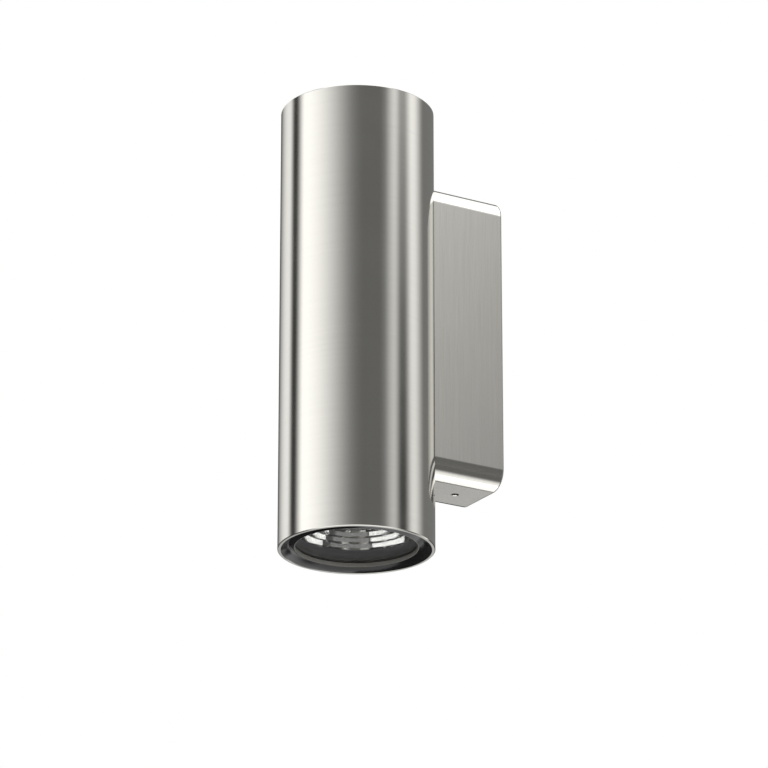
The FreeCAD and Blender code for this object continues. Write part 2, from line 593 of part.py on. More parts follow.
def make_driver():
    """LED driver on a hat-shaped tray, which leaves room for the wires behind it."""
    foot_front = f"{SADDLE_FACE} - tray_sheet"
    tray = padded("tray_sheet_metal", "YZ_Plane", [
        (SADDLE_FACE, f"-{SADDLE_END}"), (SADDLE_FACE, f"-{TRAY_STEP}"),
        (TRAY_BACK, f"-{TRAY_STEP} + tray_sheet"), (TRAY_BACK, f"{TRAY_STEP} - tray_sheet"),
        (SADDLE_FACE, TRAY_STEP), (SADDLE_FACE, SADDLE_END),
        (foot_front, SADDLE_END), (foot_front, TRAY_STEP),
        (TRAY_FRONT, f"{TRAY_STEP} - tray_sheet"), (TRAY_FRONT, f"-{TRAY_STEP} + tray_sheet"),
        (foot_front, f"-{TRAY_STEP}"), (foot_front, f"-{SADDLE_END}"),
    ], "tray_width", both_ways=True)
    place(tray, y="-axis_to_wall")
    holes = tube_holes("tray_hole", "small_thread / 2 + fit_gap", TRAY_SCREWS,
                       f"{foot_front} - {PAST}", f"tray_sheet + 2 * {PAST}")
    holes += tube_holes("tray_ear_hole", "small_thread / 2 + fit_gap", EAR_SCREWS,
                        f"{TRAY_FRONT} - {PAST}", f"tray_sheet + 2 * {PAST}")
    node(cut("driver_tray", tray, *holes), "driver_tray")
    node(cap_screws("tray_screws", "small_thread", "tray_sheet + tray_bite",
                    [("0", f"{foot_front} - axis_to_wall", z) for z in TRAY_SCREWS], TO_ROOM),
         "tray_screws")

    case = rounded_block("driver_body", "driver_width", f"-{DRIVER_END}", DRIVER_END,
                         "driver_depth", "driver_corner")
    place(case, y=f"{TRAY_FRONT} - axis_to_wall")
    ears = rounded_block("driver_ears", "driver_width / 2", f"-{EAR_END}", EAR_END,
                         "ear_thickness", "driver_corner")
    place(ears, y=f"{TRAY_FRONT} - axis_to_wall")
    ear_holes = tube_holes("ear_hole", "small_thread / 2 + fit_gap", EAR_SCREWS,
                           f"{TRAY_FRONT} - ear_thickness - {PAST}", f"ear_thickness + 2 * {PAST}")
    node(cut("driver_case", fused("driver_blank", case, ears), *ear_holes), "driver_case")
    cover = rounded_block("driver_cover", "driver_width - 2 * cover_inset",
                          f"-{DRIVER_END} + cover_inset", f"{DRIVER_END} - cover_inset",
                          "cover_thickness", "driver_corner")
    node(place(cover, y=f"{TRAY_FRONT} - driver_depth - axis_to_wall"), "driver_cover")
    node(cap_screws("driver_screws", "small_thread", "ear_thickness + tray_sheet + ear_screw_spare",
                    [("0", f"{TRAY_FRONT} - ear_thickness - axis_to_wall", z) for z in EAR_SCREWS],
                    TO_ROOM), "driver_screws")


# ---- one mouth of the tube, drawn with its depth up the Z axis ----

def at_end(thing, end, part):
    """Put a piece into the lower or the upper mouth and keep it as a sub-part."""
    if end == "lower":
        place(thing, y="-axis_to_wall", z="-tube_length / 2")
    else:
        place(thing, y="-axis_to_wall", z="tube_length / 2", turn=UPSIDE_DOWN)
    node(thing, f"{end}_{part}")


def on_circle(radius, angles):
    """Places on a circle, as x and y formulas."""
    return [(f"{radius} * cos({angle})", f"{radius} * sin({angle})") for angle in angles]


# The heat sink's two screws stand in gaps between its fins, a quarter and three quarters round.
FIN_GAPS = [f"(floor(fin_count * {part}) + 0.5) * 360 / fin_count" for part in (0.25, 0.75)]
SINK_SCREWS = on_circle(f"({SLEEVE_BORE} + sink_boss_sink - sink_boss / 2)", FIN_GAPS)
HOLDER_SCREWS = on_circle("holder_circle / 2", ["0", "180"])


def make_bezel(end):
    """Screw-in ring: dished face, lip under the glass and a threaded neck round it."""
    at_end(turned(f"{end}_ring", [
        (FLANGE, "0"), (FLANGE, "ring_flange"), (NECK, "ring_flange"), (NECK, RING_TOP),
        (NECK_BORE, RING_TOP), (NECK_BORE, GLASS_SEAT), (RING_OPENING, GLASS_SEAT),
        (RING_OPENING, "ring_dish"),
    ]), end, "bezel")


def make_lens(end):
    """Clear glass on the ring's lip, with a flat seal behind it."""
    at_end(turned(f"{end}_pane", [
        ("0", GLASS_FACE), (GLASS, GLASS_FACE), (GLASS, GLASS_BACK), ("0", GLASS_BACK),
    ]), end, "glass")
    at_end(turned(f"{end}_seal", [
        (SEAL_BORE, GLASS_BACK), (GLASS, GLASS_BACK), (GLASS, SEAL_BACK), (SEAL_BORE, SEAL_BACK),
    ]), end, "glass_gasket")


def make_sleeve(end):
    """Sleeve bonded into the tube: thread for the ring, lip for the baffle, bosses for the heat sink."""
    hole = f"{BAFFLE_OUTSIDE} + glass_gap"
    body = turned(f"{end}_sleeve", [
        (FLANGE, SLEEVE_FOOT), (FLANGE, SLEEVE_TOP), (SLEEVE_BORE, SLEEVE_TOP), (SLEEVE_BORE, LIP_TOP),
        (hole, LIP_TOP), (hole, LIP_FOOT), (THREAD, LIP_FOOT), (THREAD, SLEEVE_FOOT),
    ])
    bosses = [rod(f"{end}_boss_{n}", "sink_boss / 2", "sink_boss_height", x, y,
                  f"{SLEEVE_TOP} - sink_boss_height") for n, (x, y) in enumerate(SINK_SCREWS, 1)]
    depth = "(sink_bite + drill_spare)"
    holes = [rod(f"{end}_boss_hole_{n}", "small_thread / 2 + fit_gap", f"{depth} + {PAST}", x, y,
                 f"{SLEEVE_TOP} - {depth}") for n, (x, y) in enumerate(SINK_SCREWS, 1)]
    at_end(cut(f"{end}_sleeve_bored", fused(f"{end}_sleeve_bosses", body, *bosses), *holes),
           end, "end_collar")


def make_baffle(end):
    """Dark cylinder between the glass and the reflector, held by its flange."""
    flange_foot = f"{LIP_TOP} + fit_gap"
    at_end(turned(f"{end}_cylinder", [
        (BAFFLE_BORE, BAFFLE_FOOT), (BAFFLE_OUTSIDE, BAFFLE_FOOT), (BAFFLE_OUTSIDE, flange_foot),
        (RIM_EDGE, flange_foot), (RIM_EDGE, REFLECTOR_RIM), (BAFFLE_BORE, REFLECTOR_RIM),
    ]), end, "baffle")


def make_reflector(end):
    """Stepped reflector: treads and risers from the rim in to the LED, a plain cone outside."""
    steps = []
    for n in range(int(number("step_count")) + 1):
        radius = f"{FIRST_STEP} - {n} * {STEP_WIDTH}"
        steps += [(radius, f"{REFLECTOR_RIM} + {n} * step_rise"),
                  (radius, f"{REFLECTOR_RIM} + {n + 1} * step_rise")]
    widest = f"{FIRST_STEP} + reflector_wall"
    at_end(turned(f"{end}_steps", [
        *steps,
        (f"{APERTURE} + reflector_wall", REFLECTOR_TOP), (widest, f"{REFLECTOR_RIM} + step_rise"),
        (widest, f"{REFLECTOR_RIM} + rim_thickness"),
        (RIM_EDGE, f"{REFLECTOR_RIM} + rim_thickness"), (RIM_EDGE, REFLECTOR_RIM),
    ]), end, "reflector")


def make_led(end):
    """LED board with its lit face, a holder ring and two screws into the heat sink."""
    holes = [rod(f"{end}_board_hole_{n}", "holder_thread / 2 + fit_gap", f"board_thickness + 2 * {PAST}",
                 x, y, f"{BOARD_FACE} - {PAST}") for n, (x, y) in enumerate(HOLDER_SCREWS, 1)]
    wires = rod(f"{end}_board_wires", "board_notch", f"board_thickness + 2 * {PAST}", "0",
                "board_diameter / 2", f"{BOARD_FACE} - {PAST}")
    disc = rod(f"{end}_board_disc", "board_diameter / 2", "board_thickness", z=BOARD_FACE)
    at_end(cut(f"{end}_board", disc, *holes, wires), end, "led_board")
    front = f"{BOARD_FACE} - emitter_thickness"
    lit = turned(f"{end}_lit_face", [
        ("0", front), ("emitter_diameter / 2", front), ("emitter_diameter / 2", BOARD_FACE),
        ("0", BOARD_FACE),
    ])
    at_end(lit, end, "led_emitter")
    foot = f"({BOARD_FACE} - holder_thickness)"
    ring = turned(f"{end}_holder_ring", [
        ("holder_opening / 2", foot), ("holder_diameter / 2", foot), ("holder_diameter / 2", BOARD_FACE),
        ("holder_opening / 2", BOARD_FACE),
    ])
    holder_holes = [rod(f"{end}_holder_hole_{n}", "holder_thread / 2 + fit_gap",
                        f"holder_thickness + 2 * {PAST}", x, y, f"{foot} - {PAST}")
                    for n, (x, y) in enumerate(HOLDER_SCREWS, 1)]
    at_end(cut(f"{end}_holder", ring, *holder_holes), end, "led_holder")
    screws = cap_screws(f"{end}_holder_screws", "holder_thread",
                        "holder_thickness + board_thickness + holder_bite",
                        [(x, y, foot) for x, y in HOLDER_SCREWS], UPSIDE_DOWN)
    at_end(screws, end, "led_screws")


def make_heatsink(end):
    """Round base on the sleeve with a core and radial fins."""
    core = "sink_core / 2"
    body = turned(f"{end}_sink", [
        ("0", SLEEVE_TOP), (FLANGE, SLEEVE_TOP), (FLANGE, SINK_TOP), (core, SINK_TOP),
        (core, FIN_TOP), ("0", FIN_TOP),
    ])
    fin_sketch = sketch_on(body, "XY_Plane")
    bind(fin_sketch, **{"AttachmentOffset.Base.z": f"{SINK_TOP} - sink_base / 2"})
    outline(fin_sketch, [
        ("sink_core / 4", "-fin_thickness / 2"), (f"{FLANGE} - fin_edge", "-fin_thickness / 2"),
        (f"{FLANGE} - fin_edge", "fin_thickness / 2"), ("sink_core / 4", "fin_thickness / 2"),
    ])
    fin = body.newObject("PartDesign::Pad", f"{end}_fin")
    fin.Profile = fin_sketch
    bind(fin, Length="fin_height + sink_base / 2")
    doc.recompute()
    ring = body.newObject("PartDesign::PolarPattern", f"{end}_fins")
    ring.Originals = [fin]
    ring.Axis = (fin_sketch, ["N_Axis"])
    ring.Angle = 360
    bind(ring, Occurrences="fin_count")
    body.Tip = ring
    doc.recompute()
    through = f"sink_base + 2 * {PAST}"
    holes = [rod(f"{end}_sink_hole_{n}", "small_thread / 2 + fit_gap", through, x, y,
                 f"{SLEEVE_TOP} - {PAST}") for n, (x, y) in enumerate(SINK_SCREWS, 1)]
    tapped = f"holder_bite + drill_spare + {PAST}"
    holes += [rod(f"{end}_sink_tap_{n}", "holder_thread / 2 + fit_gap", tapped, x, y,
                  f"{SLEEVE_TOP} - {PAST}") for n, (x, y) in enumerate(HOLDER_SCREWS, 1)]
    at_end(cut(f"{end}_sink_bored", body, *holes), end, "heatsink")
    screws = cap_screws(f"{end}_sink_screws", "small_thread", "sink_base + sink_bite",
                        [(x, y, SINK_TOP) for x, y in SINK_SCREWS])
    at_end(screws, end, "heatsink_screws")


# ---- build, check and write ----

def check():
    """Stop at a feature that failed or a sub-part whose shape is missing or broken."""
    doc.recompute()
    failed = [o.Name for o in doc.Objects if {"Invalid", "Error"} & set(o.State)]
    if failed:
        raise ValueError(f"features that failed: {failed}")
    for piece in nodes:
        if piece.Shape.isNull() or not piece.Shape.isValid() or not piece.Shape.Solids:
            raise ValueError(f"no sound shape: {piece.Label}")


def main():
    fill_sheet()
    for make in (make_wall_plate, make_cable_grommet, make_terminal_block, make_earth, make_tube,
                 make_wall_box, make_rear_gasket, make_lock_screw, make_saddle, make_wire_grommet,
                 make_driver):
        make()
    for end in ("lower", "upper"):
        for make in (make_bezel, make_lens, make_sleeve, make_baffle, make_reflector, make_led,
                     make_heatsink):
            make(end)
    check()
    os.makedirs("parts", exist_ok=True)
    for piece in nodes:
        piece.Shape.exportStep(f"parts/{piece.Label}.step")
        print(f"{piece.Label}: {len(piece.Shape.Solids)} solid(s), {piece.Shape.Volume:.1f} mm3")


main()
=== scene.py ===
import json
import math

import bmesh
import bpy
from bpy.props import FloatProperty, FloatVectorProperty, IntProperty, PointerProperty
from mathutils import Matrix, Vector


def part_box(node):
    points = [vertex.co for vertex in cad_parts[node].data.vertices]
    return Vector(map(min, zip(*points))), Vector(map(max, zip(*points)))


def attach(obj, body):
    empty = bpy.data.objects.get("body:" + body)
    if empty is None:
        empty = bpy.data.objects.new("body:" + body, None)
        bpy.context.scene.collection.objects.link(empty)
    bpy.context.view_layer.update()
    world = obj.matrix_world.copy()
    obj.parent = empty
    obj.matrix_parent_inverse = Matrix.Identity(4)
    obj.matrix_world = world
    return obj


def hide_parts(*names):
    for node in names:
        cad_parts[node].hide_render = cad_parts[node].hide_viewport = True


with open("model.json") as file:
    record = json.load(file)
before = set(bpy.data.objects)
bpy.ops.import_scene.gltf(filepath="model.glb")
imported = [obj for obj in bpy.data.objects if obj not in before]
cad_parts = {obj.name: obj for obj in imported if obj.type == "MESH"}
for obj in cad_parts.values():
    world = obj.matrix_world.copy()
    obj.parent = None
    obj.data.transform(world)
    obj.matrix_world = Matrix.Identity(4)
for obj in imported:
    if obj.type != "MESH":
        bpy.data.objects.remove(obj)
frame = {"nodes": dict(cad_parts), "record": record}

bl_info = {
    "name": "Tube wall light",
    "version": (1, 0, 0),
    "blender": (4, 5, 0),
    "location": "3D View > Sidebar > Wall light",
    "description": "Finishes, outer pieces and studio of an up-and-down tube wall light",
    "category": "Object",
}

# The frame's own places: the tube's axis and the two ends of the tube.
TUBE_LOW, TUBE_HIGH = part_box("tube")
AXIS = Vector(((TUBE_LOW.x + TUBE_HIGH.x) / 2, (TUBE_LOW.y + TUBE_HIGH.y) / 2, 0))
ENDS = ("lower", "upper")
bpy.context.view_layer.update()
# Room left between pieces that lie against each other.
CLEAR = 0.00005
# Edges that turn by more than this stay sharp.
SHARP = math.radians(30)
# Half the width of a thread's ridge at its foot and at its crest, as shares of the pitch.
THREAD_FOOT, THREAD_CREST = 0.42, 0.1


# ---- what a user can change ----

class WallLightFinish(bpy.types.PropertyGroup):
    steel: FloatVectorProperty(
        name="Steel", description="Colour of the brushed stainless steel", subtype="COLOR",
        default=(0.735, 0.722, 0.675), min=0, max=1)
    black: FloatVectorProperty(
        name="Black", description="Colour of the rings in the two mouths", subtype="COLOR",
        default=(0.011, 0.011, 0.0115), min=0, max=1)
    aluminium: FloatVectorProperty(
        name="Aluminium", description="Colour of the reflectors", subtype="COLOR",
        default=(0.75, 0.748, 0.74), min=0, max=1)
    tube_roughness: FloatProperty(
        name="Tube roughness", description="How far the tube blurs what it reflects",
        default=0.1, min=0, max=1, subtype="FACTOR")
    box_roughness: FloatProperty(
        name="Box roughness", description="How far the bracket box blurs what it reflects",
        default=0.13, min=0, max=1, subtype="FACTOR")


class WallLightTube(bpy.types.PropertyGroup):
    wall: FloatProperty(name="Wall", description="Wall of the tube", default=0.0015, unit="LENGTH")
    edge: FloatProperty(
        name="Outer edge", description="Chamfer outside the tube's rims", default=0.0003, unit="LENGTH")
    inner_edge: FloatProperty(
        name="Inner edge", description="Chamfer inside the tube's rims", default=0.00008, unit="LENGTH")
    screw_hole: FloatProperty(
        name="Screw holes", description="Diameter of the two screw holes", default=0.0041, unit="LENGTH")
    wire_hole: FloatProperty(
        name="Wire hole", description="Diameter of the wire hole", default=0.01, unit="LENGTH")
    segments: IntProperty(
        name="Segments", description="Steps round the tube", default=256, min=24, max=720)


class WallLightBox(bpy.types.PropertyGroup):
    wall: FloatProperty(name="Wall", description="Wall of the box", default=0.002, unit="LENGTH")
    corner: FloatProperty(
        name="Corner", description="Radius of the box's long edges", default=0.0088, unit="LENGTH")
    tube_gap: FloatProperty(
        name="Gap to the tube", description="Gap between the coped front and the tube",
        default=0.00005, unit="LENGTH", precision=5)
    boss: FloatProperty(
        name="Boss", description="Diameter of the lock screw's boss", default=0.008, unit="LENGTH")
    boss_height: FloatProperty(
        name="Boss height", description="Height of that boss inside the box", default=0.0042, unit="LENGTH")
    lock_bore: FloatProperty(
        name="Lock screw bore", description="Diameter of the lock screw's bore",
        default=0.0031, unit="LENGTH")
    lock_sink: FloatProperty(
        name="Countersink", description="Depth of the countersink round the lock screw",
        default=0.00035, unit="LENGTH", precision=5)
    corner_steps: IntProperty(
        name="Corner steps", description="Steps round a long edge", default=32, min=4, max=90)
    cope_steps: IntProperty(
        name="Cope steps", description="Steps round the coped front", default=256, min=24, max=720)


class WallLightRing(bpy.types.PropertyGroup):
    opening: FloatProperty(
        name="Opening", description="Clear diameter of a light ring", default=0.0555, unit="LENGTH")
    dish: FloatProperty(
        name="Dish", description="Depth of the ring's dished face", default=0.001, unit="LENGTH")
    lip: FloatProperty(
        name="Lip", description="Height of the lip under the glass", default=0.002, unit="LENGTH")
    flange: FloatProperty(
        name="Flange", description="Height of the ring's flange", default=0.0023, unit="LENGTH")
    neck: FloatProperty(
        name="Neck", description="Outside radius of the threaded neck", default=0.03147, unit="LENGTH")
    neck_wall: FloatProperty(
        name="Neck wall", description="Wall of the neck, round the glass", default=0.00142, unit="LENGTH")
    pitch: FloatProperty(
        name="Pitch", description="Pitch of the ring's thread", default=0.0015, unit="LENGTH")
    thread_depth: FloatProperty(
        name="Thread depth", description="Depth of the ring's thread", default=0.0005, unit="LENGTH")
    edge: FloatProperty(
        name="Edge", description="Width of the ring's broken edges", default=0.00012, unit="LENGTH")
    seal_lip: FloatProperty(
        name="Seal lip", description="Wall of the seal's lip inside the opening", default=0.0003,
        unit="LENGTH")
    segments: IntProperty(
        name="Segments", description="Steps round a ring", default=192, min=24, max=720)


class WallLightBaffle(bpy.types.PropertyGroup):
    bore: FloatProperty(
        name="Bore", description="Inside diameter of the dark sleeve", default=0.0546, unit="LENGTH")
    wall: FloatProperty(name="Wall", description="Wall of the sleeve", default=0.0015, unit="LENGTH")
    nose_wall: FloatProperty(
        name="Nose wall", description="Wall of the sleeve's nose, inside the glass seal",
        default=0.00025, unit="LENGTH", precision=5)
    flange: FloatProperty(
        name="Flange", description="Thickness of the sleeve's flange", default=0.00155, unit="LENGTH")
    segments: IntProperty(
        name="Segments", description="Steps round the sleeve", default=192, min=24, max=720)


class WallLightStudio(bpy.types.PropertyGroup):
    bearing: FloatProperty(
        name="Bearing", description="Which way the camera looks, from +Y towards -X",
        default=math.radians(59.187), subtype="ANGLE")
    pitch: FloatProperty(
        name="Pitch", description="How far the camera looks up",
        default=math.radians(20.388), subtype="ANGLE")
    camera: FloatVectorProperty(
        name="Camera", description="Where the camera stands", default=(1.57427, -0.98970, -0.70500),
        subtype="TRANSLATION", unit="LENGTH")
    view_angle: FloatProperty(
        name="View angle", description="What the camera sees, across", default=math.radians(10.115),
        subtype="ANGLE")
    floor_depth: FloatProperty(
        name="Floor", description="How far the floor lies below the light", default=1.7, unit="LENGTH")
    floor_size: FloatProperty(
        name="Floor radius", description="Radius of the round floor", default=6, unit="LENGTH")
    daylight: FloatProperty(
        name="Ambient light", description="Plain light from all round on matt surfaces", default=0.8)


# ---- node trees ----

def put(tree, kind, inputs=(), **settings):
    """Add a node, set its options and fill its inputs with plain values or other nodes' outputs."""
    made = tree.nodes.new(kind)
    for name, value in settings.items():
        setattr(made, name, value)
    for key, value in dict(inputs).items():
        if isinstance(value, bpy.types.NodeSocket):
            tree.links.new(value, made.inputs[key])
        else:
            made.inputs[key].default_value = value
    return made


def maths(tree, operation, *values):
    """The result of a Math node."""
    return put(tree, "ShaderNodeMath", enumerate(values), operation=operation).outputs[0]


def remap(tree, value, from_low, from_high, to_low=0.0, to_high=1.0, smooth=False):
    """A value carried from one range to another and held inside it."""
    return put(tree, "ShaderNodeMapRange", {
        "Value": value, "From Min": from_low, "From Max": from_high, "To Min": to_low, "To Max": to_high,
    }, interpolation_type="SMOOTHSTEP" if smooth else "LINEAR").outputs["Result"]


def blend_colours(tree, factor, one, other):
    """One colour going over into another."""
    return put(tree, "ShaderNodeMix", {"Factor": factor, 6: (*one, 1), 7: (*other, 1)},
               data_type="RGBA").outputs[2]


def stretched(tree, vector, scale):
    """Coordinates stretched by a scale along each axis."""
    return put(tree, "ShaderNodeMapping", {"Vector": vector, "Scale": scale}).outputs["Vector"]


def noise(tree, vector, scale, detail=2.0):
    """A noise pattern from 0 to 1."""
    return put(tree, "ShaderNodeTexNoise", {
        "Vector": vector, "Scale": scale, "Detail": detail}).outputs["Fac"]


def new_group(name, inputs, outputs):
    """An empty shader group with its sockets, and the sockets on its inner side."""
    tree = bpy.data.node_groups.new(name, "ShaderNodeTree")
    for socket, kind, value in inputs:
        made = tree.interface.new_socket(socket, in_out="INPUT", socket_type=f"NodeSocket{kind}")
        if value is not None:
            made.default_value = value
    for socket, kind in outputs:
        tree.interface.new_socket(socket, in_out="OUTPUT", socket_type=f"NodeSocket{kind}")
    return tree, put(tree, "NodeGroupInput").outputs, put(tree, "NodeGroupOutput").inputs


def grain_group():
    """Brushed grain: long scratches from coordinates that are already stretched along them."""
    tree, given, wanted = new_group(
        "Brushed grain", [("Vector", "Vector", None), ("Contrast", "Float", 1.0)],
        [("Streak", "Float"), ("Height", "Float")])
    fine = noise(tree, given["Vector"], 1.0, 3.0)
    broad = noise(tree, stretched(tree, given["Vector"], (0.23, 0.23, 0.23)), 1.0, 2.0)
    both = maths(tree, "MULTIPLY_ADD", fine, 0.65, maths(tree, "MULTIPLY", broad, 0.35))
    centred = maths(tree, "MULTIPLY_ADD", maths(tree, "SUBTRACT", both, 0.5), given["Contrast"], 0.5)
    tree.links.new(maths(tree, "MINIMUM", maths(tree, "MAXIMUM", centred, 0.0), 1.0), wanted["Streak"])
    tree.links.new(fine, wanted["Height"])
    return tree


def handling_group():
    """Faint marks of handling: wide soft patches with finer ones in them."""
    tree, given, wanted = new_group(
        "Handling marks", [("Vector", "Vector", None), ("Size", "Float", 40.0)], [("Mask", "Float")])
    patches = put(tree, "ShaderNodeTexNoise", {
        "Vector": given["Vector"], "Scale": given["Size"], "Detail": 4.0, "Distortion": 0.6}).outputs["Fac"]
    tree.links.new(remap(tree, patches, 0.38, 0.68, smooth=True), wanted["Mask"])
    return tree


def dust_group():
    """Fine dust: sparse specks."""
    tree, given, wanted = new_group(
        "Fine dust", [("Vector", "Vector", None), ("Size", "Float", 2500.0), ("Amount", "Float", 0.3)],
        [("Mask", "Float")])
    specks = put(tree, "ShaderNodeTexVoronoi", {
        "Vector": given["Vector"], "Scale": given["Size"]}, feature="F1").outputs["Distance"]
    sparse = remap(tree, put(tree, "ShaderNodeTexNoise", {
        "Vector": given["Vector"], "Scale": maths(tree, "MULTIPLY", given["Size"], 0.02),
        "Detail": 3.0}).outputs["Fac"], 0.5, 0.75)
    spots = remap(tree, specks, 0.12, 0.3, 1.0, 0.0)
    tree.links.new(maths(tree, "MULTIPLY", maths(tree, "MULTIPLY", spots, sparse), given["Amount"]),
                   wanted["Mask"])
    return tree


def apply_group(tree, name, inputs):
    """A shared group placed in a tree."""
    makers = {"Brushed grain": grain_group, "Handling marks": handling_group, "Fine dust": dust_group}
    group = bpy.data.node_groups.get(name) or makers[name]()
    return put(tree, "ShaderNodeGroup", inputs, node_tree=group).outputs


# ---- finishes ----

class Finish:
    """A material in the making: its tree, its shader and the object's own coordinates."""

    def __init__(self, name, **plain):
        self.material = bpy.data.materials.new(name)
        self.material.use_nodes = True
        self.tree = self.material.node_tree
        self.shader = self.tree.nodes["Principled BSDF"]
        self.place = put(self.tree, "ShaderNodeTexCoord").outputs["Object"]
        for socket, value in plain.items():
            self.shader.inputs[socket.replace("_", " ")].default_value = value

    def feed(self, socket, value):
        """Join a pattern to one of the shader's inputs."""
        self.tree.links.new(value, self.shader.inputs[socket])

    def relief(self, height, depth, strength=1.0):
        """Bump the surface by a pattern of heights."""
        bump = put(self.tree, "ShaderNodeBump", {"Height": height, "Distance": depth, "Strength": strength})
        self.feed("Normal", bump.outputs["Normal"])


def tinted(colour, share):
    """A colour made lighter or darker by a share."""
    return tuple(min(1.0, part * share) for part in colour)


def brushed_steel(name, colour, roughness, lines, contrast, depth):
    """Stainless steel with long scratches: lines gives how fine the pattern is along each axis."""
    made = Finish(name, Metallic=1.0)
    tree = made.tree
    grain = apply_group(tree, "Brushed grain", {
        "Vector": stretched(tree, made.place, lines), "Contrast": contrast})
    marks = apply_group(tree, "Handling marks", {"Vector": made.place, "Size": 28.0})["Mask"]
    made.feed("Base Color", blend_colours(tree, grain["Streak"], tinted(colour, 0.93), tinted(colour, 1.04)))
    rough = remap(tree, grain["Streak"], 0.0, 1.0, roughness * 1.12, roughness * 0.9)
    made.feed("Roughness", maths(tree, "MULTIPLY_ADD", marks, 0.02, rough))
    made.relief(grain["Height"], depth)
    return made.material


def brushed_tube(finish):
    """The tube is brushed round its axis."""
    return brushed_steel("brushed_tube", finish.steel, finish.tube_roughness, (12, 12, 2600), 1.0, 0.000002)


def brushed_box(finish):
    """The bracket box is brushed up and down."""
    return brushed_steel("brushed_box", finish.steel, finish.box_roughness, (2400, 2400, 45), 2.6, 0.000002)


def zinc_steel(finish):
    """Zinc-coated sheet with faint crystals."""
    made = Finish("zinc_steel", Metallic=1.0)
    tree = made.tree
    crystals = put(tree, "ShaderNodeTexVoronoi", {"Vector": made.place, "Scale": 220.0}).outputs["Color"]
    grey = put(tree, "ShaderNodeSeparateColor", {"Color": crystals}).outputs["Red"]
    made.feed("Base Color", blend_colours(tree, grey, (0.4, 0.415, 0.43), (0.55, 0.565, 0.58)))
    made.feed("Roughness", remap(tree, grey, 0.0, 1.0, 0.34, 0.5))
    made.relief(noise(tree, made.place, 900.0, 3.0), 0.00001)
    return made.material


def turned_metal(name, dark, light, rough_low, rough_high, scale):
    """Small turned metal parts: fine rings and a little unevenness."""
    made = Finish(name, Metallic=1.0)
    tree = made.tree
    uneven = noise(tree, made.place, scale, 4.0)
    made.feed("Base Color", blend_colours(tree, uneven, dark, light))
    made.feed("Roughness", remap(tree, uneven, 0.3, 0.7, rough_low, rough_high))
    made.relief(noise(tree, stretched(tree, made.place, (1, 1, 3)), scale * 2, 2.0), 0.000006)
    return made.material


def steel_screws(finish):
    return turned_metal("steel_screws", (0.5, 0.5, 0.5), (0.66, 0.66, 0.65), 0.22, 0.38, 1400.0)


# Painted shade: the lock screw's steel is coloured near black, standing in for the shade inside its recessed
# hole.
def lock_steel(finish):
    return turned_metal("lock_steel", (0.04, 0.04, 0.042), (0.08, 0.08, 0.083), 0.3, 0.45, 1600.0)


def brass(finish):
    return turned_metal("brass", (0.72, 0.5, 0.2), (0.85, 0.64, 0.32), 0.25, 0.4, 1200.0)


def moulded(name, dark, light, roughness, pebble, depth):
    """Moulded rubber or plastic: a fine pebbled skin with dust in it."""
    made = Finish(name)
    tree = made.tree
    skin = noise(tree, made.place, pebble, 3.0)
    dust = apply_group(tree, "Fine dust", {"Vector": made.place, "Size": pebble, "Amount": 0.15})["Mask"]
    colour = blend_colours(tree, skin, dark, light)
    dusty = put(tree, "ShaderNodeMix", {"Factor": dust, 6: colour, 7: (0.5, 0.49, 0.47, 1)}, data_type="RGBA")
    made.feed("Base Color", dusty.outputs[2])
    made.feed("Roughness", remap(tree, skin, 0.3, 0.7, roughness * 0.9, roughness * 1.1))
    made.relief(skin, depth)
    return made.material


def black_rubber(finish):
    return moulded("black_rubber", (0.018, 0.018, 0.019), (0.032, 0.032, 0.033), 0.62, 2200.0, 0.00004)


def seal_grey(finish):
    return moulded("seal_grey", (0.19, 0.185, 0.17), (0.24, 0.232, 0.215), 0.6, 1800.0, 0.00002)


def block_white(finish):
    return moulded("block_white", (0.78, 0.77, 0.74), (0.86, 0.85, 0.82), 0.42, 1500.0, 0.00002)


def holder_white(finish):
    return moulded("holder_white", (0.8, 0.79, 0.77), (0.88, 0.87, 0.85), 0.45, 1700.0, 0.00002)


def driver_white(finish):
    return moulded("driver_white", (0.74, 0.75, 0.75), (0.82, 0.83, 0.83), 0.5, 1300.0, 0.00004)


def black_ring(finish):
    """Satin black lacquer: a slight orange peel and a few specks of dust."""
    made = Finish("black_ring")
    tree = made.tree
    peel = noise(tree, made.place, 900.0, 2.0)
    dust = apply_group(tree, "Fine dust", {"Vector": made.place, "Size": 3000.0, "Amount": 0.1})["Mask"]
    colour = blend_colours(tree, peel, tinted(finish.black, 0.8), tinted(finish.black, 1.3))
    dusty = put(tree, "ShaderNodeMix", {"Factor": dust, 6: colour, 7: (0.3, 0.3, 0.3, 1)}, data_type="RGBA")
    made.feed("Base Color", dusty.outputs[2])
    made.feed("Roughness", remap(tree, peel, 0.3, 0.7, 0.13, 0.19))
    made.relief(peel, 0.000006)
    return made.material


def black_baffle(finish):
    """Matt black turned baffle with very fine grooves round it."""
    made = Finish("black_baffle")
    tree = made.tree
    grooves = noise(tree, stretched(tree, made.place, (20, 20, 2400)), 1.0, 2.0)
    made.feed("Base Color", blend_colours(tree, grooves, tinted(finish.black, 11), tinted(finish.black, 14)))
    made.feed("Roughness", remap(tree, grooves, 0.3, 0.7, 0.3, 0.4))
    made.relief(grooves, 0.00002)
    return made.material


def clear_glass(finish):
    """Clear flat glass, very slightly green and uneven in tint."""
    made = Finish("clear_glass", Transmission_Weight=1.0, IOR=1.5, Roughness=0.0)
    clean = noise(made.tree, made.place, 60.0, 2.0)
    made.feed("Base Color", blend_colours(made.tree, clean, (0.98, 0.985, 0.975), (0.99, 0.995, 0.985)))
    return made.material


